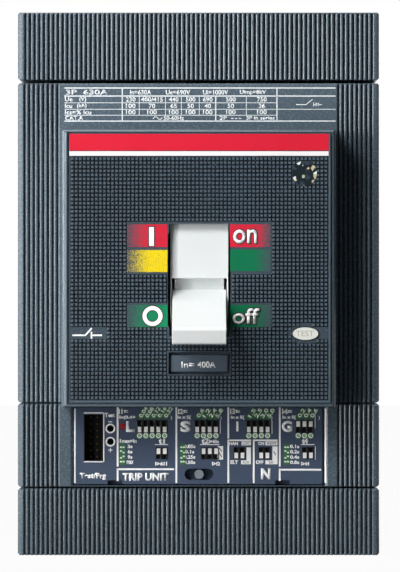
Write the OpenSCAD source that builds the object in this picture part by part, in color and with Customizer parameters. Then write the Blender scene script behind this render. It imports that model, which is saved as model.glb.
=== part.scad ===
// Three-pole molded case circuit breaker with low terminal covers and an electronic trip unit.
// Millimetres. +Z up, the front faces -Y, and the origin is the centre of the back mounting face.
// A depth is measured forwards from that back face, so a depth d lies at y = -d.

/* [Body] */
// Width over the three poles
body_w = 139.5; // [120:0.5:180]
// Height over both terminal covers
body_h = 209.3; // [180:0.1:260]
// Depth from the back face to the ribbed front
front_d = 83.5; // [72:0.5:110]
// Depth of the base, from the back face to the parting line
base_d = 42; // [36:0.5:50]
// Distance from one pole's centre to the next
pole_pitch = 46.5; // [38:0.5:60]
// Radius on the front's vertical edges
edge_r = 1.9; // [0.5:0.1:3]
// Chamfer on the upper edge and the side corners of a front section
end_chamfer = 0.8; // [0.2:0.1:1.2]
// Chamfer on the lower edge of a front section
foot_chamfer = 0.3; // [0.1:0.1:1.2]

/* [Front sections] */
// Height of the upper terminal cover
top_cover_h = 26; // [20:0.1:40]
// Height of the lower terminal cover
bottom_cover_h = 25.7; // [20:0.1:40]
// Height of the section that frames the trip unit
trip_frame_h = 32; // [28:0.1:45]
// Joint under the upper terminal cover
top_joint = 1.3; // [0.3:0.1:2]
// Joint over the trip unit's frame
frame_joint = 0.5; // [0.3:0.1:2]
// Joint over the lower terminal cover
bottom_joint = 0.7; // [0.3:0.1:2]

/* [Grip ribs] */
// Distance from one groove to the next
rib_pitch = 1.806; // [1.5:0.001:2.4]
// Width of a groove
groove_w = 0.7; // [0.4:0.05:1]
// Depth of a groove
groove_depth = 1.9; // [0.6:0.1:2.5]
// Radius on a rib's two shoulders
rib_r = 0.4; // [0.1:0.05:0.5]
// How far the line cover's ribs sit to the right of the middle
line_rib_shift = 0.1; // [0:0.05:0.9]
// How far the other ribs sit to the left of the middle
low_rib_shift = 0.2; // [0:0.05:0.9]
// Half width of the smooth middle of the two middle sections
plain_half_w = 53.7; // [45:0.1:60]

/* [Operating cover] */
// Width of the raised operating cover
cover_w = 104.5; // [98:0.5:107]
// Height of the raised operating cover
cover_h = 105.85; // [95:0.05:112]
// How far its lower edge hangs below the middle section
cover_drop = 1.15; // [0.6:0.05:1.5]
// How far it stands out of the ribbed front
cover_rise = 20; // [16:0.5:30]
// Radius on its side and upper front edges
cover_r = 2.4; // [0.5:0.1:4]
// Radius on its lower front edge
cover_foot_r = 1; // [0.3:0.1:2]
// Width of its sunken face
face_w = 98.8; // [90:0.1:99]
// Margin over the sunken face
face_top_margin = 1.85; // [1:0.05:5]
// Margin under the sunken face
face_foot_margin = 2.45; // [2:0.05:5]
// Depth of the sunken face
face_sink = 0.6; // [0.3:0.05:1]
// Width of the groove round the sunken face
face_groove_w = 0.7; // [0.3:0.05:1]
// Depth of the groove round the sunken face
face_groove_depth = 1.1; // [0.7:0.05:1.5]
// Width of the rim between that groove and the foot of the face
foot_rim_w = 0.7; // [0.4:0.05:1]
// Width of the rim between that groove and the right side of the face
right_rim_w = 0.6; // [0.2:0.05:0.8]
// Height of the red strip
strip_h = 6.4; // [4:0.1:10]
// Height of the white strip
white_strip_h = 1.7; // [1:0.1:4]
// Thickness of the two strips
strip_t = 0.4; // [0.2:0.05:1]

/* [Toggle] */
// Width of the toggle slot
slot_w = 22.9; // [20:0.1:30]
// Height of the toggle slot
slot_h = 42.7; // [36:0.1:50]
// Middle of the slot, to the right of the centre
slot_x = 0.3; // [-2:0.1:2]
// Middle of the slot and its pivot, above the operating cover's lower edge
slot_lift = 48.35; // [44:0.05:56]
// Depth of the pivot behind the operating cover's face
pivot_depth = 42; // [38:0.5:48]
// Distance from the pivot to the white shutter's two flats
shutter_r = 38; // [36:0.1:41]
// How far the shutter's ends reach beyond that distance
shutter_reach = 6.5; // [0.5:0.1:7]
// Depth of the shutter's window
window_depth = 5; // [2:0.1:8]
// Angle from the middle of the shutter to its end
shutter_half = 54; // [50:1:60]
// Angle from the middle of the shutter to its window's end
window_half = 20; // [15:0.5:25]
// Width of the toggle
toggle_w = 20.4; // [16:0.1:26]
// Width of the neck behind the toggle
neck_w = 18.8; // [14:0.1:24]
// Distance from the pivot to the toggle's end
toggle_len = 65.5; // [56:0.5:75]
// Thickness of the toggle at its root
toggle_root_t = 15; // [10:0.1:16]
// Thickness of the toggle at its end
toggle_end_t = 6.8; // [5:0.1:10]
// Angle of the toggle below the horizontal when it is off
off_angle = 19; // [15:0.5:22]
// Radius of the pivot pin
pin_r = 2.5; // [1.5:0.1:4]
// Clearance round moving pieces
running_gap = 0.35; // [0.3:0.05:0.6]

/* [Test button and rating plug] */
// Length of the oval test button
button_w = 9.75; // [7:0.05:14]
// Height of the oval test button
button_h = 4.8; // [3:0.05:8]
// How far the test button stands out
button_rise = 0.8; // [0.4:0.1:3]
// Depth of the test button's body
button_body = 6; // [4:0.1:9]
// Travel of the test button
button_travel = 1; // [0.5:0.1:2]
// Width of the rating plug's pocket
pocket_w = 23.3; // [18:0.1:30]
// Height of the rating plug's pocket
pocket_h = 8.3; // [6:0.1:11]
// Depth of the rating plug's pocket
pocket_depth = 6; // [4:0.1:8]
// Width of the raised rim round the pocket
pocket_rim = 0.5; // [0.3:0.05:1]
// How far the rating plug's face lies behind the operating cover's
plug_sink = 1.5; // [0.5:0.1:3]
// Radius of the round seal
seal_r = 4.7; // [3:0.1:7]

/* [Trip unit] */
// Width of the opening round the trip unit
trip_w = 99.1; // [97.6:0.1:101]
// Middle of the opening, to the right of the centre
trip_x = 0.2; // [-1:0.1:1]
// Depth of the opening round the trip unit
trip_depth = 12; // [11:0.5:20]
// Bevel on the opening's and the panel's upright edges
trip_bevel = 0.85; // [0.3:0.05:1.5]
// Gap round the trip unit's panel
trip_gap = 0.5; // [0.3:0.05:1]
// Wall of the frame over the trip unit's panel
frame_wall = 1; // [0.8:0.1:3]
// Lip of the frame under the trip unit's panel
frame_lip = 0.45; // [0.3:0.05:2]
// How far the panel lies behind the ribbed front
panel_sink = 0.8; // [0.2:0.1:3]
// Width of the test connector's opening
socket_w = 7.4; // [5:0.1:10]
// Height of the test connector's opening
socket_h = 18; // [16:0.1:22]
// Depth of the test connector's opening
socket_depth = 8; // [6:0.1:10]
// Radius of a test jack's bore
jack_r = 1.3; // [1:0.05:1.6]
// Height of an upper setting switch's body
switch_h = 5.1; // [4:0.1:6]
// Height of a lower setting switch's body
low_switch_h = 4.6; // [4:0.1:6]
// Distance from one slider to the next
slider_pitch = 2.42; // [2:0.01:3]
// Width of a slider
slider_w = 1.4; // [1:0.05:1.6]
// Height of a slider
slider_h = 2.1; // [1.5:0.05:2.5]
// Radius of the alarm lamp
lamp_r = 1.2; // [0.8:0.1:2]
// Length of the lock's recess
lock_w = 11.1; // [8:0.1:14]
// Height of the lock's recess
lock_h = 4.4; // [3:0.1:6]
// Width of a latch notch
notch_w = 5.6; // [4:0.1:8]
// Height of a latch notch
notch_h = 1.5; // [1:0.1:3]

/* [Terminals] */
// Width of a terminal well
well_w = 34; // [28:0.5:38]
// Length of a terminal well from the end face
well_l = 24; // [20:0.5:25]
// Depth of the well's floor above the back face
well_floor = 20; // [12:0.5:24]
// Depth of the well's roof above the back face
well_roof = 62; // [50:0.5:66]
// Width of a copper terminal
pad_w = 28; // [20:0.5:32]
// Thickness of a copper terminal
pad_t = 6; // [4:0.5:8]
// Radius of a terminal bolt's shank
bolt_r = 5; // [4:0.5:6]
// Radius of a terminal bolt's head
bolt_head_r = 8; // [7:0.5:9]
// Radius of a rear fixing hole
fixing_r = 2.65; // [2:0.05:3.5]
// Height between the rear fixing holes
fixing_h = 140; // [120:0.5:160]

/* [Hidden] */
$fn = 48;
half_w = body_w / 2;
half_h = body_h / 2;
top_cover_z = half_h - top_cover_h;
bottom_cover_top = -half_h + bottom_cover_h;
frame_z = bottom_cover_top + bottom_joint;
frame_top = frame_z + trip_frame_h;
mid_z = frame_top + frame_joint;
mid_top = top_cover_z - top_joint;
cover_z = mid_z - cover_drop;
cover_top = cover_z + cover_h;
groove_limit = half_w - edge_r - groove_w / 2 - rib_r - 0.05;
face_d = front_d + cover_rise;
sunk_d = face_d - face_sink;
face_x = trip_x;
face_z = cover_z + face_foot_margin;
face_top = cover_top - face_top_margin;
strip_z = face_top - strip_h;
white_z = strip_z - 0.3 - white_strip_h;
slot_z = cover_z + slot_lift;
pivot_d = face_d - pivot_depth;
shutter_end_r = shutter_r + shutter_reach;
sweep_r = shutter_end_r + 0.5;
drum_w = slot_w - 2 * running_gap;
window_w = toggle_w + 2 * running_gap;
hub_r = pin_r + 4.5;
button_x = 40.7;
button_z = slot_z - 20.4;
plug_z = slot_z - 31.7;
seal_x = 40.3;
seal_z = slot_z + 40.6;
panel_d = front_d - panel_sink;
floor_d = front_d - trip_depth;
recess_w = trip_w - 2 * trip_bevel;
recess_z = frame_z + frame_lip;
recess_h = trip_frame_h - frame_lip - frame_wall;
panel_w = recess_w - 2 * trip_gap;
panel_h = recess_h - 2 * trip_gap;
panel_z = recess_z + trip_gap;
panel_cz = panel_z + panel_h / 2;
socket_x = -40.5;
socket_z = panel_cz + 3.1;
jack_x = -34;
jack_zs = [panel_cz + 6.7, panel_cz + 1.6];
lamp_x = -29.3;
lamp_z = panel_cz + 7.5;
lock_x = 0.2;
lock_z = panel_cz - 11;
notch_xs = [-32.3, 32.4];
switch_z = panel_cz + 4.9;
low_switch_z = panel_cz - 5.1;
// Setting switches: name, left edge, lower edge, height, count of sliders, 1 when they are up
BANKS = [
    ["i1", -23.9, switch_z, switch_h, 5, 0],
    ["t1", -16.6, low_switch_z, low_switch_h, 2, 1],
    ["i2", -1.7, switch_z, switch_h, 4, 0],
    ["t2", 0.8, low_switch_z, low_switch_h, 3, 1],
    ["i3", 18.25, switch_z, switch_h, 4, 0],
    ["mode", 13.4, low_switch_z, low_switch_h, 2, 0],
    ["n", 23, low_switch_z, low_switch_h, 2, 0],
    ["i4", 37.3, switch_z, switch_h, 3, 1],
    ["t4", 39.8, low_switch_z, low_switch_h, 2, 0],
];
POLES = [-1, 0, 1];
ENDS = [["line", 1], ["load", -1]];

function bank_w(bank) = bank[4] * slider_pitch - 0.1;

// A box between two depths, with its lower left corner at x, z
module block(x, z, w, h, d0, d1) {
    translate([x, -d1, z]) cube([w, d1 - d0, h]);
}

// A rod from depth d0 to depth d1
module rod(x, z, r, d0, d1) {
    translate([x, -d0, z]) rotate([90, 0, 0]) cylinder(r = r, h = d1 - d0);
}

// A flat-sided rod with round ends, from depth d0 to depth d1
module obround(x, z, w, h, d0, d1) {
    block(x - w / 2 + h / 2, z - h / 2, w - h, h, d0, d1);
    for (side = [-1, 1]) rod(x + side * (w - h) / 2, z, h / 2, d0, d1);
}

// An oval rod, from depth d0 to depth d1
module oval(x, z, w, h, d0, d1) {
    translate([x, -d0, z]) rotate([90, 0, 0]) linear_extrude(d1 - d0)
        polygon([for (i = [0:47]) [w / 2 * cos(i * 7.5), h / 2 * sin(i * 7.5)]]);
}

// Local x points forwards, y up and z to the left, with its origin on the toggle's pivot
module at_pivot() {
    translate([slot_x, -pivot_d, slot_z]) rotate([90, 0, -90]) children();
}

// A rod of width w along the pivot
module pivot_rod(r, w) {
    at_pivot() cylinder(r = r, h = w, center = true);
}

// Points of the ribbed front from left to right, as x and y of a level section
function groove_points(x) = [
    [x - groove_w / 2 - rib_r, -front_d],
    [x - groove_w / 2 - rib_r * 0.3, -front_d + rib_r * 0.3],
    [x - groove_w / 2, -front_d + rib_r],
    [x - groove_w / 2 + 0.05, -front_d + groove_depth],
    [x + groove_w / 2 - 0.05, -front_d + groove_depth],
    [x + groove_w / 2, -front_d + rib_r],
    [x + groove_w / 2 + rib_r * 0.3, -front_d + rib_r * 0.3],
    [x + groove_w / 2 + rib_r, -front_d]
];

// Centres of the grooves outside a smooth middle, moved to the right by shift
function groove_xs(plain, shift) = [
    for (i = [-60:60]) let (x = i * rib_pitch + shift)
    if (abs(x) >= plain && abs(x) <= groove_limit) x
];

// The round at a front vertical edge, from angle a to angle a + 90
function edge_points(side) = [
    for (i = [0:4]) let (a = side < 0 ? 180 + i * 22.5 : 270 + i * 22.5)
    [side * (half_w - edge_r) + edge_r * cos(a), -front_d + edge_r + edge_r * sin(a)]
];

// One section of the ribbed front
module ribbed_section(z, h, plain, shift) {
    outline = concat(
        [[-half_w, -base_d]],
        edge_points(-1),
        [for (x = groove_xs(plain, shift)) each groove_points(x)],
        edge_points(1),
        [[half_w, -base_d]]
    );
    intersection() {
        translate([0, 0, z]) linear_extrude(h) polygon(outline);
        end_chamfers(z, h);
        corner_chamfers(z, h);
    }
}

// A long prism that chamfers a section's upper and lower front edges
module end_chamfers(z, h) {
    c = end_chamfer;
    foot = foot_chamfer;
    translate([-body_w, 0, 0]) rotate([90, 0, 90]) linear_extrude(2 * body_w)
        polygon([
            [0, z], [0, z + h], [-front_d + c, z + h], [-front_d, z + h - c],
            [-front_d, z + foot], [-front_d + foot, z]
        ]);
}

// A deep prism that chamfers a section's four corners
module corner_chamfers(z, h) {
    c = end_chamfer;
    translate([0, 1, 0]) rotate([90, 0, 0]) linear_extrude(front_d + 2)
        polygon([
            [-half_w, z + c], [-half_w + c, z], [half_w - c, z], [half_w, z + c],
            [half_w, z + h - c], [half_w - c, z + h], [-half_w + c, z + h], [-half_w, z + h - c]
        ]);
}

// The wells in one terminal cover or in the base, for end = 1 above or -1 below
module wells(end, d0, d1) {
    for (pole = POLES)
        block(pole * pole_pitch - well_w / 2, end > 0 ? half_h - well_l : -half_h - 1,
            well_w, well_l + 1, d0, d1);
}

module base() {
    color([0.2, 0.23, 0.27])
    difference() {
        block(-half_w, -half_h, body_w, body_h, 0, base_d);
        for (end = [-1, 1]) {
            wells(end, well_floor, base_d + 1);
            for (side = [-0.5, 0.5]) barrier_slot(side * pole_pitch, end);
            for (pole = POLES)
                rod(pole * pole_pitch, terminal_z(end), bolt_r + 0.1, well_floor - 12, base_d);
        }
        for (side = [-0.5, 0.5]) for (end = [-0.5, 0.5])
            rod(side * pole_pitch, end * fixing_h, fixing_r, -1, base_d - 10);
    }
}

// The slot between two poles that takes a barrier plate
module barrier_slot(x, end) {
    block(x - 1, end > 0 ? half_h - 8 : -half_h - 1, 2, 9, 6, base_d + 1);
}

function terminal_z(end) = end * (half_h - well_l / 2);

module mid_cover() {
    color([0.24, 0.28, 0.32])
    difference() {
        ribbed_section(mid_z, mid_top - mid_z, plain_half_w, -low_rib_shift);
        toggle_room(front_d + 1);
        pivot_rod(pin_r + 0.05, drum_w + 12);
    }
}

// The room that the toggle and its shutter turn in, up to depth d
module toggle_room(d) {
    intersection() {
        pivot_rod(sweep_r, slot_w + 1);
        block(slot_x - slot_w, slot_z - sweep_r - 1, 2 * slot_w, 2 * sweep_r + 2,
            pivot_d - hub_r - 1, d);
    }
}

// Level section of the opening round the trip unit, wider at its mouth
module recess_plan() {
    a = recess_w / 2;
    b = trip_w / 2;
    polygon([
        [-a, -floor_d], [-a, -front_d + trip_bevel], [-b, -front_d], [-b, -front_d - 1],
        [b, -front_d - 1], [b, -front_d], [a, -front_d + trip_bevel], [a, -floor_d]
    ]);
}

module trip_unit_frame() {
    color([0.24, 0.28, 0.32])
    difference() {
        ribbed_section(frame_z, trip_frame_h, plain_half_w, -low_rib_shift);
        translate([trip_x, 0, recess_z]) linear_extrude(recess_h) recess_plan();
    }
}

module terminal_cover(end) {
    z = end > 0 ? top_cover_z : -half_h;
    h = end > 0 ? top_cover_h : bottom_cover_h;
    color([0.24, 0.28, 0.32])
    difference() {
        ribbed_section(z, h, 0, end > 0 ? line_rib_shift : -low_rib_shift);
        wells(end, base_d - 1, well_roof);
    }
}

module line_terminal_cover() {
    terminal_cover(1);
}

module load_terminal_cover() {
    terminal_cover(-1);
}

module operating_cover() {
    color([0.21, 0.25, 0.29])
    difference() {
        union() {
            difference() {
                intersection() {
                    translate([0, 0, cover_z]) linear_extrude(cover_h) cover_plan();
                    translate([-cover_w, 0, 0]) rotate([90, 0, 90])
                        linear_extrude(2 * cover_w) cover_side();
                }
                block(face_x - face_w / 2, face_z, face_w, face_top - face_z, sunk_d, face_d + 1);
                face_groove();
            }
            plug_box(pocket_rim, sunk_d - 1, face_d);
        }
        toggle_room(face_d);
        block(slot_x - slot_w / 2, slot_z - slot_h / 2, slot_w, slot_h, front_d - 1, face_d + 1);
        oval(button_x, button_z, button_w + 2 * running_gap, button_h + 2 * running_gap,
            sunk_d + button_rise - button_body - button_travel - 0.5, face_d + 1);
        plug_box(0, face_d - pocket_depth, face_d + 1);
    }
}

// The groove that runs round the sunken face and under the rim at its foot
module face_groove() {
    difference() {
        face_block(face_groove_w, face_d - face_groove_depth);
        face_block(0, 0);
    }
}

// The area of the face and its two rims, grown by a margin all round, forwards from depth d
module face_block(margin, d) {
    foot = face_z - foot_rim_w;
    block(face_x - face_w / 2 - margin, foot - margin, face_w + right_rim_w + 2 * margin,
        face_top - foot + 2 * margin, d, face_d + 1 + margin);
}

// The rating plug's pocket, grown by a margin all round
module plug_box(margin, d0, d1) {
    block(slot_x - pocket_w / 2 - margin, plug_z - pocket_h / 2 - margin,
        pocket_w + 2 * margin, pocket_h + 2 * margin, d0, d1);
}

// Level section of the operating cover, with rounded front corners
module cover_plan() {
    r = cover_r;
    for (side = [-1, 1]) translate([side * (cover_w / 2 - r), -face_d + r]) circle(r = r);
    translate([-cover_w / 2, -face_d + r]) square([cover_w, cover_rise - r]);
    translate([-cover_w / 2 + r, -face_d]) square([cover_w - 2 * r, cover_rise]);
}

// Upright section of the operating cover, with rounded upper and lower front corners
module cover_side() {
    r = cover_r;
    q = cover_foot_r;
    translate([-face_d + r, cover_top - r]) circle(r = r);
    translate([-face_d + q, cover_z + q]) circle(r = q);
    translate([-face_d + r, cover_z]) square([cover_rise - r, cover_h]);
    translate([-face_d + q, cover_z]) square([cover_rise - q, cover_h - r]);
    translate([-face_d, cover_z + q]) square([cover_rise, cover_h - r - q]);
}

module red_strip() {
    color([0.85, 0.16, 0.24])
    block(face_x - face_w / 2 + 0.1, strip_z, face_w - 0.2, strip_h - 0.1, sunk_d, sunk_d + strip_t);
}

module white_strip() {
    color([0.98, 0.97, 0.97])
    block(face_x - face_w / 2 + 0.1, white_z, face_w - 0.2, white_strip_h, sunk_d, sunk_d + strip_t);
}

module rating_plug() {
    color([0.24, 0.28, 0.32])
    union() {
        plug_box(-0.2, face_d - pocket_depth, face_d - plug_sink - 1.5);
        plug_box(-0.9, face_d - pocket_depth, face_d - plug_sink);
    }
}

module seal_disc() {
    color([0.72, 0.75, 0.78])
    rod(seal_x, seal_z, seal_r, sunk_d, face_d + 0.1);
}

// A piece of a ring about the pivot, to an angle either side of local x
module ring_piece(r0, r1, half) {
    far = 2 * r1;
    intersection() {
        difference() {
            circle(r = r1);
            circle(r = r0);
        }
        polygon([
            [0, 0], [far * cos(half), -far * sin(half)], [far, -far * sin(half)],
            [far, far * sin(half)], [far * cos(half), far * sin(half)]
        ]);
    }
}

// All that lies behind the shutter's flat that faces the front at an angle of the toggle
module shutter_flat(angle) {
    rotate([0, 0, angle]) translate([0, -2 * shutter_r]) square([shutter_r, 4 * shutter_r]);
}

module toggle_shutter() {
    window_r = shutter_r - window_depth;
    color([0.91, 0.93, 0.92])
    at_pivot() rotate([0, 0, -off_angle]) difference() {
        linear_extrude(drum_w, center = true) difference() {
            union() {
                circle(r = hub_r);
                translate([0, -6]) square([window_r - 1, 12]);
                intersection() {
                    ring_piece(window_r - 3, shutter_end_r, shutter_half);
                    shutter_flat(off_angle);
                    shutter_flat(-off_angle);
                }
            }
            circle(r = pin_r + 0.05);
        }
        linear_extrude(window_w, center = true)
            ring_piece(window_r, shutter_end_r, window_half);
        for (side = [-1, 1]) translate([0, 0, side * (window_w + neck_w) / 4])
            linear_extrude((window_w - neck_w) / 2, center = true)
                ring_piece(window_r - 4, shutter_end_r, window_half);
    }
}

module toggle_grip() {
    r0 = shutter_r - window_depth + 0.05;
    tip = toggle_len;
    a = toggle_root_t / 2;
    b = toggle_end_t / 2;
    color([0.95, 0.97, 0.96])
    at_pivot() rotate([0, 0, -off_angle])
    difference() {
        translate([0, 0, -toggle_w / 2]) linear_extrude(toggle_w)
            polygon([
                [r0 - 2, -a], [tip - 1, -b], [tip - 0.3, -b + 0.3], [tip, -b + 1],
                [tip, b - 1], [tip - 0.3, b - 0.3], [tip - 1, b], [r0 - 2, a]
            ]);
        cylinder(r = r0, h = toggle_w + 2, center = true);
    }
}

module toggle_pin() {
    color([0.7, 0.7, 0.72])
    pivot_rod(pin_r, drum_w + 11.6);
}

module test_button() {
    color([0.9, 0.91, 0.88])
    oval(button_x, button_z, button_w, button_h,
        sunk_d + button_rise - button_body, sunk_d + button_rise);
}

// Level section of the trip unit's panel, with bevelled front edges
module panel_plan() {
    a = panel_w / 2;
    polygon([
        [-a, -floor_d], [-a, -panel_d + trip_bevel], [-a + trip_bevel, -panel_d],
        [a - trip_bevel, -panel_d], [a, -panel_d + trip_bevel], [a, -floor_d]
    ]);
}

module trip_unit_panel() {
    color([0.28, 0.32, 0.4])
    difference() {
        translate([trip_x, 0, panel_z]) linear_extrude(panel_h) panel_plan();
        block(socket_x - socket_w / 2, socket_z - socket_h / 2, socket_w, socket_h,
            panel_d - socket_depth, panel_d + 1);
        for (z = jack_zs) rod(jack_x, z, jack_r, panel_d - 9, panel_d + 1);
        for (bank = BANKS)
            block(bank[1], bank[2], bank_w(bank), bank[3], panel_d - 5, panel_d + 1);
        obround(lock_x, lock_z, lock_w, lock_h, panel_d - 4, panel_d + 1);
        rod(lamp_x, lamp_z, lamp_r, panel_d - 3, panel_d + 1);
        for (x = notch_xs)
            block(x - notch_w / 2, panel_z - 1, notch_w, notch_h + 1, panel_d - 3, panel_d + 1);
    }
}

module test_connector_pins() {
    color([0.75, 0.6, 0.3])
    for (i = [0:6]) for (side = [-1, 1])
        block(socket_x + side * 1.27 - 0.3, socket_z + (i - 3) * 2.54 - 0.3, 0.6, 0.6,
            panel_d - socket_depth, panel_d - socket_depth + 3);
}

module test_jack_rings() {
    color([0.95, 0.95, 0.95])
    for (z = jack_zs) difference() {
        rod(jack_x, z, jack_r + 0.6, panel_d, panel_d + 0.2);
        rod(jack_x, z, jack_r, panel_d - 1, panel_d + 1);
    }
}

module alarm_lamp() {
    color([0.5, 0.1, 0.12])
    rod(lamp_x, lamp_z, lamp_r, panel_d - 3, panel_d + 0.2);
}

module lock_barrel() {
    color([0.3, 0.34, 0.4])
    rod(lock_x, lock_z, lock_h / 2 - 0.4, panel_d - 4, panel_d - 0.3);
}

module switch_bodies() {
    color([0.05, 0.06, 0.07])
    for (bank = BANKS) difference() {
        block(bank[1], bank[2], bank_w(bank), bank[3], panel_d - 5, panel_d + 0.3);
        for (i = [0:bank[4] - 1])
            block(slider_x(bank, i) - slider_w / 2 - 0.05, bank[2] + 0.3, slider_w + 0.1, bank[3] - 0.6,
                panel_d - 1.2, panel_d + 1);
    }
}

function slider_x(bank, i) = bank[1] - 0.05 + (i + 0.5) * slider_pitch;

module sliders(bank) {
    z = bank[5] > 0 ? bank[2] + bank[3] - 0.5 - slider_h : bank[2] + 0.35;
    color([0.97, 0.97, 0.96])
    for (i = [0:bank[4] - 1])
        block(slider_x(bank, i) - slider_w / 2, z, slider_w, slider_h, panel_d - 1.2, panel_d + 0.5);
}

module terminal(pole, end) {
    z = end > 0 ? half_h - well_l : -half_h + 0.5;
    color([0.85, 0.5, 0.3])
    difference() {
        block(pole * pole_pitch - pad_w / 2, z, pad_w, well_l - 0.5, well_floor, well_floor + pad_t);
        rod(pole * pole_pitch, terminal_z(end), bolt_r + 0.5, well_floor - 1, base_d);
    }
}

module terminal_bolts(end) {
    top = well_floor + pad_t;
    color([0.75, 0.75, 0.77])
    for (pole = POLES) {
        rod(pole * pole_pitch, terminal_z(end), bolt_r, well_floor - 11, top + 2);
        rod(pole * pole_pitch, terminal_z(end), bolt_head_r + 2, top, top + 1.5);
        difference() {
            rod(pole * pole_pitch, terminal_z(end), bolt_head_r, top + 1.5, top + 9.5);
            translate([pole * pole_pitch, -top - 4.5, terminal_z(end)]) rotate([90, 0, 0])
                cylinder(r = 4.6, h = 6, $fn = 6);
        }
    }
}

base();
mid_cover();
trip_unit_frame();
line_terminal_cover();
load_terminal_cover();
operating_cover();
red_strip();
white_strip();
rating_plug();
seal_disc();
toggle_shutter();
toggle_grip();
toggle_pin();
test_button();
trip_unit_panel();
test_connector_pins();
test_jack_rings();
alarm_lamp();
lock_barrel();
switch_bodies();
for (bank = BANKS)
    sliders(bank);
for (end = ENDS) for (pole = POLES)
    terminal(pole, end[1]);
for (end = ENDS)
    terminal_bolts(end[1]);
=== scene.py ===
"""Looks of a three-pole molded case circuit breaker: finishes, grip texture, prints, light and camera."""
import math

import bmesh
import bpy
from bpy.props import FloatProperty, FloatVectorProperty, IntProperty, PointerProperty
from mathutils import Matrix, Vector


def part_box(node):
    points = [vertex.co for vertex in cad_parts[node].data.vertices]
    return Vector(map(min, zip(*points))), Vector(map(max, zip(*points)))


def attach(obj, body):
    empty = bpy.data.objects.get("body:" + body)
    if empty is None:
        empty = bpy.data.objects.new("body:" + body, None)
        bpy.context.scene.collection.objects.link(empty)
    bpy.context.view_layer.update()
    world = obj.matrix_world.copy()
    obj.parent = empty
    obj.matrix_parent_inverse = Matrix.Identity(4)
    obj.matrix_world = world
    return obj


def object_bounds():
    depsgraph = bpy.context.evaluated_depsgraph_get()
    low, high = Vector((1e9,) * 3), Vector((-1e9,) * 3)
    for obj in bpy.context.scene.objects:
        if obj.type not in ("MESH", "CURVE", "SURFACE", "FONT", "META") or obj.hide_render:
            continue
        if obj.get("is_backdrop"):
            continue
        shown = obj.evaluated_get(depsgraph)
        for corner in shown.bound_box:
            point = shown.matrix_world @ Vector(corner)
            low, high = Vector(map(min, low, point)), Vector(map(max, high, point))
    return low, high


bl_info = {
    "name": "Molded Case Circuit Breaker",
    "version": (1, 0, 0),
    "blender": (4, 5, 0),
    "location": "View3D > Sidebar > Breaker",
    "description": "Finishes a three-pole circuit breaker and sets its studio",
    "category": "Object",
}

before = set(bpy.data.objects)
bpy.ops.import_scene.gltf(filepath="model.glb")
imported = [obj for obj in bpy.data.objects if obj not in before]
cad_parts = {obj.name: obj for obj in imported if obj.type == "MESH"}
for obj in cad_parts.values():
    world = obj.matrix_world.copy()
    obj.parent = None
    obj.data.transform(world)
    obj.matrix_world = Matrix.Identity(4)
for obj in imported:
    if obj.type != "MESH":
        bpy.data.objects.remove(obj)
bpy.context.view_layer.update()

MM = 0.001
FACE_ON = Matrix.Rotation(math.pi / 2, 4, "X")  # turns a shape drawn flat so that it faces the front
INK = 0.05  # how far a print stands out of its surface, in mm
INK_THICKNESS = 0.04  # of the print itself
BODY_DEPTH = -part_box("mid_cover")[0].y / MM  # of the ribbed front, from the flat back, in mm
PANEL_DEPTH = 82.7  # of the trip unit's panel
FACE_DEPTH = 102.9  # of the operating cover's sunken face
SOCKET = (7.36, 17.96, 7.6)  # width, height and depth of the connector shell, in mm
FACE_BOX = (-49.2, 49.6, -44.45, 57.1)  # the sunken face, from left to right and from foot to top, in mm
GRIP_BOX = (-48.75, 49.25, -44.1, 48.3)  # the part of it under the white strip, in mm
BUTTON = (40.7, -18.95, 6.3, 3.6)  # the flat oval round the test button: its middle and half sizes, in mm
SEAL = (40.3, 42.05, 5.1)  # the flat disc round the seal: its middle and radius, in mm
ROW_STEP = 2.05  # between the rows of delay times on the trip unit, in mm
VIEW_CENTRE = (0.58, -0.85)  # the point that the camera faces, across and up, in mm
FLAT_BOXES = (  # places on the face with no texture, as left, foot, right and top, in mm
    (-12.0, -21.0, 12.6, 23.4),  # the slot
    (-27.4, 4.2, -11.0, 23.4),  # red and yellow labels on the left
    (-27.4, -16.8, -11.0, -7.4),  # green label on the left
    (11.8, 4.2, 27.6, 23.4),  # red and green labels on the right
    (11.8, -16.8, 27.6, -7.4),  # lower green label on the right
    (-12.4, -35.4, 13.0, -25.2),  # the rating plug
    (-48.8, -21.4, -34.6, -16.8),  # the contact symbol
    (44.6, -21.4, 49.4, -16.6),  # right of the test button
)


# Colours and nodes


def srgb(colour):
    """The linear colour of an sRGB hex value such as "57656F"."""
    parts = [int(colour[i:i + 2], 16) / 255 for i in (0, 2, 4)]
    return [p / 12.92 if p <= 0.04045 else ((p + 0.055) / 1.055) ** 2.4 for p in parts] + [1.0]


def add(tree, kind, settings=None, values=None, links=None):
    """Adds one node, sets its settings and sockets, and links its inputs to (node, output) pairs."""
    made = tree.nodes.new(kind)
    for name, value in (settings or {}).items():
        setattr(made, name, value)
    for name, value in (values or {}).items():
        made.inputs[name].default_value = value
    for name, (source, output) in (links or {}).items():
        tree.links.new(source.outputs[output], made.inputs[name])
    return made


def new_material(name, **values):
    """A material with one Principled shader; returns it with its tree, shader and Object coordinates."""
    material = bpy.data.materials.new(name)
    material.use_nodes = True
    tree = material.node_tree
    shader = tree.nodes["Principled BSDF"]
    for socket, value in values.items():
        shader.inputs[socket.replace("_", " ")].default_value = value
    return material, tree, shader, add(tree, "ShaderNodeTexCoord")


def tint(tree, place, colour, size, amount):
    """Slow drift of a colour over size metres, lighter and darker by amount."""
    cloud = add(tree, "ShaderNodeTexNoise", values={"Scale": 1 / size, "Detail": 3.0},
                links={"Vector": (place, "Object")})
    lift = add(tree, "ShaderNodeMapRange", values={"From Min": 0.3, "From Max": 0.7,
               "To Min": 1 - amount, "To Max": 1 + amount}, links={"Value": (cloud, "Fac")})
    return add(tree, "ShaderNodeVectorMath", {"operation": "SCALE"}, {0: colour[:3]},
               {"Scale": (lift, "Result")})


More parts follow.
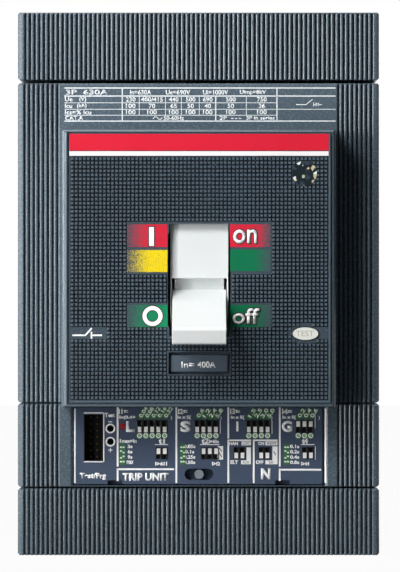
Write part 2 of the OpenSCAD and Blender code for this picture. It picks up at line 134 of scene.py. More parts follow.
def grain(tree, shader, place, size, height, stretch=(1, 1, 1)):
    """Fine relief of a surface, with grains of size metres and height metres."""
    lay = add(tree, "ShaderNodeMapping", values={"Scale": stretch}, links={"Vector": (place, "Object")})
    noise = add(tree, "ShaderNodeTexNoise", values={"Scale": 1 / size, "Detail": 2.0, "Roughness": 0.6},
                links={"Vector": (lay, "Vector")})
    bump = add(tree, "ShaderNodeBump", values={"Strength": 1.0, "Distance": height},
               links={"Height": (noise, "Fac")})
    tree.links.new(bump.outputs["Normal"], shader.inputs["Normal"])
    return noise


def moulded(name, colour, roughness, size, height, drift=0.05, specular=0.5):
    """Moulded plastic with a spark-eroded surface: soft gloss, broken by fine even grains."""
    # Real grains are about 0.1 mm; the housing's are drawn coarser, so that they show.
    material, tree, shader, place = new_material(
        name, Roughness=roughness, IOR=1.5, Specular_IOR_Level=specular)
    mixed = tint(tree, place, colour, 0.03, drift)
    tree.links.new(mixed.outputs["Vector"], shader.inputs["Base Color"])
    noise = grain(tree, shader, place, size, height)
    sheen = add(tree, "ShaderNodeMapRange", values={"From Min": 0.3, "From Max": 0.7,
                "To Min": roughness - 0.05, "To Max": roughness + 0.05}, links={"Value": (noise, "Fac")})
    tree.links.new(sheen.outputs["Result"], shader.inputs["Roughness"])
    return material


def printed(name, colour):
    """Pad-printed ink: thin, even and slightly glossy, a little uneven in cover."""
    material, tree, shader, place = new_material(name, Roughness=0.45, IOR=1.5)
    mixed = tint(tree, place, srgb(colour), 0.004, 0.03)
    tree.links.new(mixed.outputs["Vector"], shader.inputs["Base Color"])
    grain(tree, shader, place, 0.0012, 0.00001)
    return material


def faded(name, colour, under, solid_x, bare_x):
    """A label film printed in fine dashes that thin out from a solid edge to the bare plastic."""
    material, tree, shader, place = new_material(name, Roughness=0.42, IOR=1.5, Specular_IOR_Level=0.2)
    axes = add(tree, "ShaderNodeSeparateXYZ", links={"Vector": (place, "Object")})
    away = add(tree, "ShaderNodeMapRange", values={"From Min": solid_x * MM, "From Max": bare_x * MM,
               "To Min": 0.22, "To Max": 0.74}, links={"Value": (axes, "X")})
    # The dots are about 0.2 mm across, as in a screen print.
    dashes = add(tree, "ShaderNodeTexNoise", values={"Scale": 4600.0, "Detail": 0.0},
                 links={"Vector": (place, "Object")})
    over = add(tree, "ShaderNodeMath", {"operation": "SUBTRACT"},
               links={0: (dashes, "Fac"), 1: (away, "Result")})
    cover = add(tree, "ShaderNodeMapRange", values={"From Min": -0.2, "From Max": 0.2},
                links={"Value": (over, "Value")})
    mixed = add(tree, "ShaderNodeMix", {"data_type": "RGBA"}, {"A": under, "B": srgb(colour)},
                {"Factor": (cover, "Result")})
    tree.links.new(mixed.outputs["Result"], shader.inputs["Base Color"])
    grain(tree, shader, place, 0.0012, 0.00001)
    return material


def metal(name, colour, roughness, size, stretch=(1, 1, 1)):
    """Plated or rolled metal: bright, with fine marks along its working direction."""
    material, tree, shader, place = new_material(name, Roughness=roughness, Metallic=1.0)
    mixed = tint(tree, place, srgb(colour), 0.006, 0.06)
    tree.links.new(mixed.outputs["Vector"], shader.inputs["Base Color"])
    grain(tree, shader, place, size, 0.00002, stretch)
    return material


# Shapes


def front_place(x, z, depth):
    """Moves a shape drawn flat to a place in mm and turns it to the front."""
    return Matrix.Translation(Vector((x, -depth, z)) * MM) @ FACE_ON


def add_flat(bm, x0, z0, x1, z1, depth, size, angle=0.0):
    """A flat bar of a size in mm, turned by an angle, midway between two points."""
    place = front_place((x0 + x1) / 2, (z0 + z1) / 2, depth) @ Matrix.Rotation(angle, 4, "Z")
    scale = Matrix.Diagonal((size[0] * MM, size[1] * MM, 1, 1))
    bmesh.ops.create_grid(bm, x_segments=1, y_segments=1, size=0.5, matrix=place @ scale)


def add_bar(bm, x0, z0, x1, z1, depth):
    """A flat bar between two corners, in mm."""
    add_flat(bm, x0, z0, x1, z1, depth, (abs(x1 - x0), abs(z1 - z0)))


def add_stroke(bm, x0, z0, x1, z1, width, depth):
    """A flat bar of a given width from one point to another, in mm."""
    run = math.hypot(x1 - x0, z1 - z0)
    add_flat(bm, x0, z0, x1, z1, depth, (run, width), math.atan2(z1 - z0, x1 - x0))


def add_ring(bm, x, z, outer, inner, depth, segments=32):
    """A flat ring, or a disc when inner is 0, in mm."""
    place = front_place(x, z, depth)
    made = bmesh.ops.create_circle(bm, cap_ends=inner == 0, radius=outer * MM, segments=segments,
                                   matrix=place)
    if inner:
        rim = {edge for vert in made["verts"] for edge in vert.link_edges}
        grown = bmesh.ops.extrude_edge_only(bm, edges=list(rim))
        fresh = [g for g in grown["geom"] if isinstance(g, bmesh.types.BMVert)]
        bmesh.ops.scale(bm, vec=(inner / outer,) * 3, space=place.inverted(), verts=fresh)


def add_words(bm, words, x, z, width, height, depth, swell=0.0):
    """Lettering that fills a box of width by height mm about its centre; swell thickens it."""
    curve = bpy.data.curves.new("lettering", "FONT")
    curve.body = words
    curve.resolution_u = 3
    writer = bpy.data.objects.new("lettering", curve)
    plain = bpy.data.meshes.new_from_object(writer)
    spans = [[min(v.co[i] for v in plain.vertices), max(v.co[i] for v in plain.vertices)] for i in (0, 1)]
    middle = Vector((sum(spans[0]) / 2, sum(spans[1]) / 2, 0))
    scale = Vector((width / (spans[0][1] - spans[0][0]), height / (spans[1][1] - spans[1][0]), 1)) * MM
    mesh = plain
    if swell:
        curve.offset = swell / height * (spans[1][1] - spans[1][0])
        mesh = bpy.data.meshes.new_from_object(writer)
    mesh.transform(front_place(x, z, depth) @ Matrix.Diagonal((scale.x, scale.y, 1, 1))
                   @ Matrix.Translation(-middle))
    bm.from_mesh(mesh)
    bpy.data.objects.remove(writer)
    bpy.data.curves.remove(curve)
    for used in {plain, mesh}:
        bpy.data.meshes.remove(used)


def add_slanted(bm, words, x, z, run, height, depth):
    """Lettering that climbs to the right, starting at x, z, in mm."""
    fresh = bmesh.new()
    add_words(fresh, words, run / 2, 0, run, height, 0, swell=0.09)
    turn = Matrix.Rotation(math.radians(-57), 4, "Y")
    move = Matrix.Translation(Vector((x, -depth, z)) * MM)
    bmesh.ops.transform(fresh, matrix=move @ turn, verts=fresh.verts)
    mesh = bpy.data.meshes.new("slanted")
    fresh.to_mesh(mesh)
    fresh.free()
    bm.from_mesh(mesh)
    bpy.data.meshes.remove(mesh)


def finish_print(bm):
    """Gives flat bars and lettering the thickness of ink, down from their faces."""
    bmesh.ops.remove_doubles(bm, verts=bm.verts, dist=1e-7)
    turned = [face for face in bm.faces if face.normal.y > 0]
    bmesh.ops.reverse_faces(bm, faces=turned)
    bmesh.ops.solidify(bm, geom=bm.faces[:], thickness=INK_THICKNESS * MM)


def make_piece(name, bm, material, body="housing"):
    """Turns a bmesh into a piece that rides on a body."""
    mesh = bpy.data.meshes.new(name)
    bm.to_mesh(mesh)
    bm.free()
    mesh.materials.append(material)
    piece = bpy.data.objects.new(name, mesh)
    bpy.context.scene.collection.objects.link(piece)
    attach(piece, body)
    return piece


def dress(material, *nodes):
    """Gives CAD nodes a material through their objects' slots."""
    for name in nodes:
        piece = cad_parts[name]
        if not piece.material_slots:
            raise RuntimeError(f"{name} has no material slot")
        for slot in piece.material_slots:
            slot.link = "OBJECT"
            slot.material = material


def round_edges(width, segments, *nodes):
    """Rounds the sharp edges of CAD nodes by width metres."""
    for name in nodes:
        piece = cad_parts[name]
        weld = piece.modifiers.new("weld", "WELD")
        weld.merge_threshold = 1e-6
        bevel = piece.modifiers.new("edge", "BEVEL")
        bevel.width = width
        bevel.segments = segments
        bevel.limit_method = "ANGLE"
        bevel.angle_limit = math.radians(35)
        bevel.use_clamp_overlap = True


# Settings


def colour_property(name, description, value):
    """A colour that a user can change, from its sRGB hex value."""
    return FloatVectorProperty(name=name, description=description, subtype="COLOR", size=4, min=0, max=1,
                               default=srgb(value))


class BreakerFinish(bpy.types.PropertyGroup):
    """Colours of the main pieces and the grain of the moulded ones"""
    body: colour_property("Housing", "Colour of the ribbed housing", "566570")
    cover: colour_property("Operating cover", "Colour of the operating cover", "45515B")
    panel: colour_property("Trip unit", "Colour of the trip unit's panel", "425067")
    toggle: colour_property("Toggle", "Colour of the toggle", "E9ECEC")
    grain_size: FloatProperty(name="Grain size", description="Size of the moulded surface's grains",
                              default=0.0008, min=0.0001, max=0.005, unit="LENGTH")
    grain_height: FloatProperty(name="Grain height", description="Height of the moulded surface's grains",
                                default=0.00001, min=0, max=0.0005, unit="LENGTH")


class BreakerGrip(bpy.types.PropertyGroup):
    """Sizes of the operating cover's pyramids"""
    columns: IntProperty(name="Columns", description="Pyramids from side to side", default=64, min=8, max=120)
    rows: IntProperty(name="Rows", description="Pyramids from top to bottom", default=60, min=8, max=120)
    height: FloatProperty(name="Height", description="Height of one pyramid", default=0.0007, min=0.0001,
                          max=0.0008, unit="LENGTH")
    gap: FloatProperty(name="Gap", description="Flat gap between two pyramids", default=0.0003, min=0,
                       max=0.0006, unit="LENGTH")
    slope: FloatProperty(name="Slope", description="Width of a pyramid's sloping side", default=0.0004,
                         min=0.0001, max=0.0007, unit="LENGTH")


class BreakerStudio(bpy.types.PropertyGroup):
    """Place of the camera and powers of the lamps, in watts"""
    distance: FloatProperty(name="Distance", description="From the camera to the ribbed front", default=1.43,
                            min=0.5, max=5, unit="LENGTH")
    lens: FloatProperty(name="Lens", description="Focal length of the lens in mm", default=233.4, min=50,
                        max=400)
    key: FloatProperty(name="Key", description="Power of the key light", default=4.6, min=0, max=100)
    tall: FloatProperty(name="Tall", description="Power of the tall light that gives the ribs their shine",
                        default=4.7, min=0, max=100)
    fill: FloatProperty(name="Fill", description="Power of the tall light nearer the camera",
                        default=1.3, min=0, max=100)
    side: FloatProperty(name="Side", description="Power of the light at the far left", default=5.0, min=0,
                        max=100)
    strip: FloatProperty(name="Strip", description="Power of the strip at the far right", default=0.3, min=0,
                         max=50)
    top: FloatProperty(name="Top", description="Power of the light overhead", default=3.0, min=0, max=50)
    rear_left: FloatProperty(name="Rear left", description="Power of the light behind on the left",
                             default=2.0, min=0, max=100)
    rear_right: FloatProperty(name="Rear right", description="Power of the light behind on the right",
                              default=4.0, min=0, max=100)
    ambient: FloatProperty(name="Ambient", description="Light from the dark end of the studio", default=0.015,
                           min=0, max=1)


# Finishes of the CAD nodes


def darken_face(material, rim, face):
    """Leaves a moulded cover's rim in the housing's colour and the sunken face in a darker one."""
    tree = material.node_tree
    shader = tree.nodes["Principled BSDF"]
    place = add(tree, "ShaderNodeTexCoord")
    middle = Vector((FACE_BOX[0] + FACE_BOX[1], 0, FACE_BOX[2] + FACE_BOX[3])) * MM / 2
    off = add(tree, "ShaderNodeVectorMath", {"operation": "SUBTRACT"}, {1: middle}, {0: (place, "Object")})
    apart = add(tree, "ShaderNodeVectorMath", {"operation": "ABSOLUTE"}, links={0: (off, "Vector")})
    axes = add(tree, "ShaderNodeSeparateXYZ", links={"Vector": (apart, "Vector")})
    spans = (("X", FACE_BOX[1] - FACE_BOX[0]), ("Z", FACE_BOX[3] - FACE_BOX[2]))
    inside = [add(tree, "ShaderNodeMath", {"operation": "LESS_THAN"}, {1: span / 2 * MM}, {0: (axes, axis)})
              for axis, span in spans]
    within = add(tree, "ShaderNodeMath", {"operation": "MULTIPLY"},
                 links={0: (inside[0], "Value"), 1: (inside[1], "Value")})
    old = shader.inputs["Base Color"].links[0].from_node
    share = [a / b for a, b in zip(rim, face)][:3]
    paler = add(tree, "ShaderNodeVectorMath", {"operation": "MULTIPLY"}, {1: share}, {0: (old, "Vector")})
    # Sockets 4 and 5 are a Mix node's two vectors.
    mixed = add(tree, "ShaderNodeMix", {"data_type": "VECTOR"},
                links={4: (paler, "Vector"), 5: (old, "Vector")})
    tree.links.new(within.outputs["Value"], mixed.inputs[0])
    tree.links.new(mixed.outputs[1], shader.inputs["Base Color"])


class BREAKER_OT_housing(bpy.types.Operator):
    """Finishes the housing, the covers and the rating plug"""
    bl_idname = "breaker.housing"
    bl_label = "Finish Housing"

    def execute(self, context):
        look = context.scene.breaker_finish
        grains = look.grain_size, look.grain_height
        # Glass-filled polyamide, moulded: bluish grey, glossy enough for the ribs to shine.
        body = moulded("glass_filled_polyamide_grey", look.body, 0.26, *grains, specular=0.85)
        dress(body, "base", "mid_cover", "trip_unit_frame", "line_terminal_cover", "load_terminal_cover")
        # The same plastic, darker on the sunken face.
        cover = moulded("glass_filled_polyamide_dark", look.cover, 0.24, *grains, specular=0.7)
        darken_face(cover, look.body, look.cover)
        dress(cover, "operating_cover")
        # Polycarbonate, moulded: smooth and duller than the housing.
        dress(moulded("polycarbonate_plug_grey", srgb("515E6A"), 0.38, *grains), "rating_plug")
        # Vinyl label film: flat colour with a slight waviness.
        film = 0.4, 0.004, 0.000008
        dress(moulded("label_film_red", srgb("D82038"), *film, 0.03, 0.25), "red_strip")
        dress(moulded("label_film_white", srgb("FAF3F4"), *film, 0.02), "white_strip")
        round_edges(0.00033, 3, "operating_cover", "rating_plug")
        round_edges(0.0005, 3, "base")
        return {"FINISHED"}


class BREAKER_OT_toggle(bpy.types.Operator):
    """Finishes the toggle, its shutter, its pin and the test button"""
    bl_idname = "breaker.toggle"
    bl_label = "Finish Toggle"

    def execute(self, context):
        look = context.scene.breaker_finish
        # Polyamide from a polished mould: milky, with faint marks that run up and down along the sweep.
        white, tree, shader, place = new_material("polished_polyamide_white", Roughness=0.42, IOR=1.52,
                                                  Subsurface_Weight=0.05, Subsurface_Scale=0.001)
        mixed = tint(tree, place, look.toggle, 0.012, 0.012)
        tree.links.new(mixed.outputs["Vector"], shader.inputs["Base Color"])
        grain(tree, shader, place, 0.0012, 0.000012, (1, 0.08, 0.08))
        dress(white, "toggle_shutter", "toggle_grip")
        round_edges(0.0004, 3, "toggle_grip")
        round_edges(0.0002, 2, "toggle_shutter")
        # Turned steel: bright, with rings round its length.
        dress(metal("turned_steel", "B9BBBF", 0.35, 0.0006, (1, 8, 8)), "toggle_pin")
        # ABS, moulded: plain ivory with a soft gloss.
        dress(moulded("moulded_button_ivory", srgb("E6E8E0"), 0.4, 0.0008, 0.00001, 0.02), "test_button")
        round_edges(0.0002, 2, "test_button")
        return {"FINISHED"}


class BREAKER_OT_trip_unit(bpy.types.Operator):
    """Finishes the trip unit's panel and all that stands in it"""
    bl_idname = "breaker.trip_unit"
    bl_label = "Finish Trip Unit"

    def execute(self, context):
        look = context.scene.breaker_finish
        # Polycarbonate, moulded: blue grey and nearly matt.
        dress(moulded("polycarbonate_panel_blue_grey", look.panel, 0.45, look.grain_size, look.grain_height),
              "trip_unit_panel")
        # Small switches of moulded nylon: black bodies, white sliders, both smooth.
        small = 0.4, 0.001, 0.00001
        dress(moulded("moulded_switch_black", srgb("0C1013"), *small), "switch_bodies")
        dress(moulded("moulded_slider_white", srgb("FAFAF7"), *small, 0.02),
              *[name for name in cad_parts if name.startswith("sliders_")])
        dress(printed("ring_ink_white", "F4F6F6"), "test_jack_rings")
        # Brass gone brown, with a dull shine.
        dress(metal("tarnished_pin_brass", "6A573A", 0.45, 0.0006), "test_connector_pins")
        # A frosted lens: dark red while it is unlit.
        dress(moulded("diffused_lens_red", srgb("9E2430"), 0.3, 0.001, 0.00001), "alarm_lamp")
        # Nickel plate: silver grey and satin.
        dress(metal("nickel_plated_barrel", "AEBBC2", 0.45, 0.0008), "lock_barrel")
        round_edges(0.00015, 2, "trip_unit_panel", "switch_bodies")
        return {"FINISHED"}


class BREAKER_OT_socket(bpy.types.Operator):
    """Lines the test connector's opening with its black shell"""
    bl_idname = "breaker.socket"
    bl_label = "Add Connector Shell"

    def execute(self, context):
        low, high = (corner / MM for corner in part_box("test_connector_pins"))
        x, z = (low.x + high.x) / 2, (low.z + high.z) / 2
        width, height, depth = SOCKET
        bm = bmesh.new()
        place = Matrix.Translation(Vector((x, -PANEL_DEPTH + 0.1 + depth / 2, z)) * MM)
        size = Matrix.Diagonal((width * MM, depth * MM, height * MM, 1))
        bmesh.ops.create_cube(bm, size=1, matrix=place @ size)
        open_side = [face for face in bm.faces if face.normal.y < -0.9]
        bmesh.ops.delete(bm, geom=open_side, context="FACES_ONLY")
        bmesh.ops.solidify(bm, geom=bm.faces[:], thickness=0.0002)
        bmesh.ops.recalc_face_normals(bm, faces=bm.faces)
        # Nylon, moulded: black and matt; its near-black is also painted shade, so that the opening looks
        # deep.
        shell = moulded("moulded_socket_black", srgb("060809"), 0.6, 0.001, 0.00001)
        make_piece("connector_shell", bm, shell)
        return {"FINISHED"}


class BREAKER_OT_terminals(bpy.types.Operator):
    """Finishes the terminals, their bolts and the round seal"""
    bl_idname = "breaker.terminals"
    bl_label = "Finish Terminals"

    def execute(self, context):
        # Tinned copper, drawn as bar: warm where the tin is thin, with marks along it.
        dress(metal("tinned_copper", "C99B7C", 0.36, 0.0012, (1, 1, 0.1)),
              *[f"{end}_terminal_{i}" for end in ("line", "load") for i in (1, 2, 3)])
        # Zinc-plated steel: bright and slightly blue.
        dress(metal("zinc_plated_steel", "BFC2C8", 0.3, 0.001), "line_terminal_bolts", "load_terminal_bolts")
        round_edges(0.0004, 2, "line_terminal_bolts", "load_terminal_bolts")
        # Embossed foil: patches painted some silver and some nearly black, a painted reflection of the light
        # that each embossed patch would catch.
        foil, tree, shader, place = new_material("embossed_foil_silver", Roughness=0.3, Metallic=0.15)
        cells = add(tree, "ShaderNodeTexVoronoi", {"feature": "F1"}, {"Scale": 620.0},
                    {"Vector": (place, "Object")})
        tone = add(tree, "ShaderNodeSeparateColor", links={"Color": (cells, "Color")})
        ramp = add(tree, "ShaderNodeValToRGB", links={"Fac": (tone, "Red")})
        ramp.color_ramp.interpolation = "CONSTANT"
        stops = ((0.0, "1E2930"), (0.45, "3A4652"), (0.6, "F4F6F2"), (0.74, "2A343C"), (0.86, "CFC6A4"))
        while len(ramp.color_ramp.elements) < len(stops):
            ramp.color_ramp.elements.new(0.5)
        for element, (at, colour) in zip(ramp.color_ramp.elements, stops):
            element.position = at
            element.color = srgb(colour)
        tree.links.new(ramp.outputs["Color"], shader.inputs["Base Color"])
        grain(tree, shader, place, 0.0008, 0.00003)
        dress(foil, "seal_disc")
        return {"FINISHED"}


# Pieces on the operating cover


def keep_clear(x, z):
    """True where the cover's face stays flat: the slot, labels, plug, button, symbol and seal."""
    if any(x0 < x < x1 and z0 < z < z1 for x0, z0, x1, z1 in FLAT_BOXES):
        return True
    if ((x - BUTTON[0]) / BUTTON[2]) ** 2 + ((z - BUTTON[1]) / BUTTON[3]) ** 2 < 1:
        return True
    return math.hypot(x - SEAL[0], z - SEAL[1]) < SEAL[2]


def paint_pyramid_shade_and_highlight(material, height):
    """Paints shade into a texture's colour between its pyramids, darker towards their feet, and a painted
    highlight on their tops.
    """
    tree = material.node_tree
    shader = tree.nodes["Principled BSDF"]
    place = add(tree, "ShaderNodeTexCoord")
    axes = add(tree, "ShaderNodeSeparateXYZ", links={"Vector": (place, "Object")})
    foot = -FACE_DEPTH * MM
    # Painted shade and highlight: the colour is a quarter at the pyramids' feet and 1.6 times on their tops.
    painted_shade_by_depth = add(tree, "ShaderNodeMapRange", values={"From Min": foot - 0.1 * height, "From Max": foot - height,
               "To Min": 0.25, "To Max": 1.6}, links={"Value": (axes, "Y")})
    old = shader.inputs["Base Color"].links[0].from_node
    painted_shade_colour = add(tree, "ShaderNodeVectorMath", {"operation": "SCALE"}, links={0: (old, "Vector"),
                "Scale": (painted_shade_by_depth, "Result")})
    tree.links.new(painted_shade_colour.outputs["Vector"], shader.inputs["Base Color"])


class BREAKER_OT_grip(bpy.types.Operator):
    """Covers the operating cover's face with small pyramids"""
    bl_idname = "breaker.grip"
    bl_label = "Add Grip Texture"

    def execute(self, context):
        grip = context.scene.breaker_grip
        x0, x1, z0, z1 = GRIP_BOX
        bm = bmesh.new()
        place = front_place((x0 + x1) / 2, (z0 + z1) / 2, FACE_DEPTH + 0.01)
        size = Matrix.Diagonal(((x1 - x0) * MM, (z1 - z0) * MM, 1, 1))
        bmesh.ops.create_grid(bm, x_segments=grip.columns, y_segments=grip.rows, size=0.5,
                              matrix=place @ size)
        flat = [face for face in bm.faces
                if keep_clear(face.calc_center_median().x / MM, face.calc_center_median().z / MM)]
        bmesh.ops.delete(bm, geom=flat, context="FACES")
        fronts = bm.faces[:]
        bmesh.ops.solidify(bm, geom=fronts, thickness=0.00003)
        fronts = [face for face in bm.faces if face.normal.y < -0.9]
        bmesh.ops.inset_individual(bm, faces=fronts, thickness=grip.gap / 2)
        bmesh.ops.inset_individual(bm, faces=fronts, thickness=grip.slope, depth=grip.height)
        look = context.scene.breaker_finish
        # Glass-filled polyamide from a cut mould; its dark dots and light tips are painted shade and painted
        # highlight.
        material = moulded("glass_filled_polyamide_textured", look.cover, 0.24, look.grain_size,
                           look.grain_height, specular=0.7)
        paint_pyramid_shade_and_highlight(material, grip.height)
        make_piece("grip_pyramids", bm, material)
        return {"FINISHED"}


class BREAKER_OT_labels(bpy.types.Operator):
    """Adds the coloured position labels beside the toggle"""
    bl_idname = "breaker.labels"
    bl_label = "Add Position Labels"

    def execute(self, context):
        under = context.scene.breaker_finish.cover
        films = (("red_left", "D8233A", -27.2, 13.95, -11.8, 22.6, -18.0, -27.2),
                 ("yellow_left", "F0D414", -27.2, 4.45, -11.8, 12.85, -18.0, -27.2),
                 ("green_left", "0C7F54", -27.2, -16.45, -11.8, -8.05, -18.0, -27.2),
                 ("red_right", "D8233A", 12.0, 13.95, 27.3, 22.6, 20.5, 27.3),
                 ("green_right", "02744A", 12.0, 4.8, 27.3, 13.05, 20.5, 27.3),
                 ("green_right_low", "02744A", 12.0, -16.45, 27.3, -8.05, 20.5, 27.3))
        for name, colour, x0, z0, x1, z1, solid, bare in films:
            bm = bmesh.new()
            add_bar(bm, x0, z0, x1, z1, FACE_DEPTH + INK)
            finish_print(bm)
            film = faded("label_film_" + name, colour, under, solid, bare)
            make_piece("label_" + name, bm, film)
        letters = bmesh.new()
        shades = bmesh.new()
        for words, x, z, width, height, swell in (
                ("on", 17.8, 18.0, 8.75, 4.95, 0.18), ("off", 18.05, -12.3, 10.1, 5.8, 0.12)):
            add_words(letters, words, x, z, width, height, FACE_DEPTH + 3 * INK, swell=swell)
            add_words(shades, words, x, z, width, height, FACE_DEPTH + 2 * INK, swell=swell + 0.35)
        add_bar(letters, -18.8, 14.4, -16.95, 21.6, FACE_DEPTH + 3 * INK)
        add_bar(shades, -19.15, 14.1, -16.6, 21.9, FACE_DEPTH + 2 * INK)
        add_ring(letters, -17.5, -12.25, 3.8, 2.25, FACE_DEPTH + 3 * INK, segments=48)
        add_ring(shades, -17.5, -12.25, 4.15, 1.95, FACE_DEPTH + 2 * INK, segments=48)
        for bm, name, colour, slot in ((letters, "white", "FFFFFF", "white_label"),
                                       (shades, "dark", "2B1B1E", "switch_black")):
            finish_print(bm)
            make_piece("label_letters_" + name, bm, printed("screen_ink_" + name, colour))
        return {"FINISHED"}


class BREAKER_OT_cover_prints(bpy.types.Operator):
    """Adds the contact symbol and the lettering on the plug and the button"""
    bl_idname = "breaker.cover_prints"
    bl_label = "Add Cover Prints"

    def execute(self, context):
        white = printed("pad_ink_white", "FFFFFF")
        bm = bmesh.new()
        depth = FACE_DEPTH + INK
        for x0, z0, x1, z1 in ((-48.0, -19.6, -43.0, -19.6), (-43.2, -19.75, -40.6, -16.9),
                               (-40.7, -18.3, -40.7, -20.9), (-40.7, -19.6, -36.7, -19.6)):
            add_stroke(bm, x0, z0, x1, z1, 0.65, depth)
        finish_print(bm)
        make_piece("contact_symbol", bm, white)
        bm = bmesh.new()
        plug = -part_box("rating_plug")[0].y / MM + INK
        add_words(bm, "In=", -4.05, -30.85, 4.7, 2.3, plug, swell=0.06)
        add_words(bm, "400A", 3.1, -30.75, 6.7, 2.4, plug, swell=0.06)
        finish_print(bm)
        make_piece("plug_rating", bm, white)
        bm = bmesh.new()
        button = -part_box("test_button")[0].y / MM + INK
        add_words(bm, "TEST", 40.45, -18.9, 6.7, 2.15, button)
        finish_print(bm)
        make_piece("button_letters", bm, printed("button_shade", "B9B4AA"), "test_button")
        return {"FINISHED"}


class BREAKER_OT_rating_table(bpy.types.Operator):
    """Prints the rating table over the operating cover"""
    bl_idname = "breaker.rating_table"
    bl_label = "Add Rating Table"

    def execute(self, context):
        depth = BODY_DEPTH + INK
        left, right, last = -51.7, 52.9, 30.25  # the table's sides, and the line before its bare cell
        thick, thin = 0.42, 0.22
        uprights = ((-29.4, 62.75, 75.5, thick), (-22.85, 65.0, 72.4, thin), (-12.75, 65.0, 72.4, thin),
                    (-6.6, 65.0, 72.4, thin), (0.3, 65.0, 72.4, thin), (6.65, 62.75, 72.4, thick),
                    (18.45, 65.0, 72.4, thin), (last, 62.75, 75.5, thick))
        breaker_symbol = ((37.6, 69.1, 41.5, 69.1), (41.4, 69.05, 43.9, 71.1), (44.4, 69.9, 44.4, 68.4),
                          (44.4, 69.1, 47.6, 69.1), (45.2, 69.8, 46.4, 68.5), (46.4, 69.8, 45.2, 68.5))
        lines = bmesh.new()
        for z in (75.5, 72.4, 62.75):
            add_stroke(lines, left, z, right, z, thick, depth)
        for z, end in ((69.8, last), (67.3, right), (65.0, last)):
            add_stroke(lines, left, z, end, z, thin, depth)
        for x, z0, z1, width in uprights:
            add_stroke(lines, x, z0, x, z1, width, depth)
        for x0, z0, x1, z1 in breaker_symbol:
            add_stroke(lines, x0, z0, x1, z1, 0.32, depth)
        cells = [("In=630A", -22.3, 73.85, 8.1, 1.75), ("Ue=690V", -7.9, 73.85, 9.3, 1.75),
                 ("Ui=1000V", 6.6, 73.85, 9.6, 1.75), ("Uimp=8kV", 21.0, 73.75, 10.0, 1.95),
                 ("3P  630A", -43.0, 73.9, 16.0, 1.9),
                 ("Ue", -50.0, 71.15, 2.9, 1.6), ("(V)", -44.6, 71.05, 2.6, 1.9),
                 ("Icu", -50.1, 68.6, 2.7, 1.6), ("(kA)", -45.0, 68.55, 3.6, 1.9),
                 ("Ics=% Icu", -46.4, 66.15, 10.0, 1.6), ("CAT.A", -47.9, 63.9, 6.9, 1.6),
                 ("50-60Hz", -9.5, 63.9, 7.7, 1.55), ("2P", 9.6, 63.95, 2.8, 1.5),
                 ("3P in series", 23.9, 63.95, 10.9, 1.5)]
        columns = ((-26.1, "230", "100"), (-17.9, "400/415", "70"), (-9.5, "440", "65"), (-3.0, "500", "50"),
                   (3.6, "690", "40"), (12.5, "500", "50"), (24.5, "750", "36"))
        for x, volts, kiloamps in columns:
            for words, z in ((volts, 71.1), (kiloamps, 68.6), ("100", 66.2)):
                cells.append((words, x, z, 1.2 * len(words), 1.65))
        for words, x, z, width, height in cells:
            add_words(lines, words, x, z, width, height, depth, swell=0.055)
        for x in (13.0, 14.5, 16.0):
            add_stroke(lines, x - 0.5, 63.8, x + 0.5, 63.8, 0.35, depth)
        wave = [(-17.6, 63.6), (-16.9, 64.4), (-16.1, 64.3), (-15.2, 63.4), (-14.4, 63.5), (-14.0, 64.1)]
        for (x0, z0), (x1, z1) in zip(wave, wave[1:]):
            add_stroke(lines, x0, z0, x1, z1, 0.28, depth)
        finish_print(lines)
        make_piece("rating_table", lines, printed("table_ink_white", "F2F6F8"))
        return {"FINISHED"}


# The trip unit's prints


def panel_place():
    """The middle of the trip unit's panel, in mm."""
    low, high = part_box("trip_unit_panel")
    return (low.x + high.x) / 2 / MM, (low.z + high.z) / 2 / MM


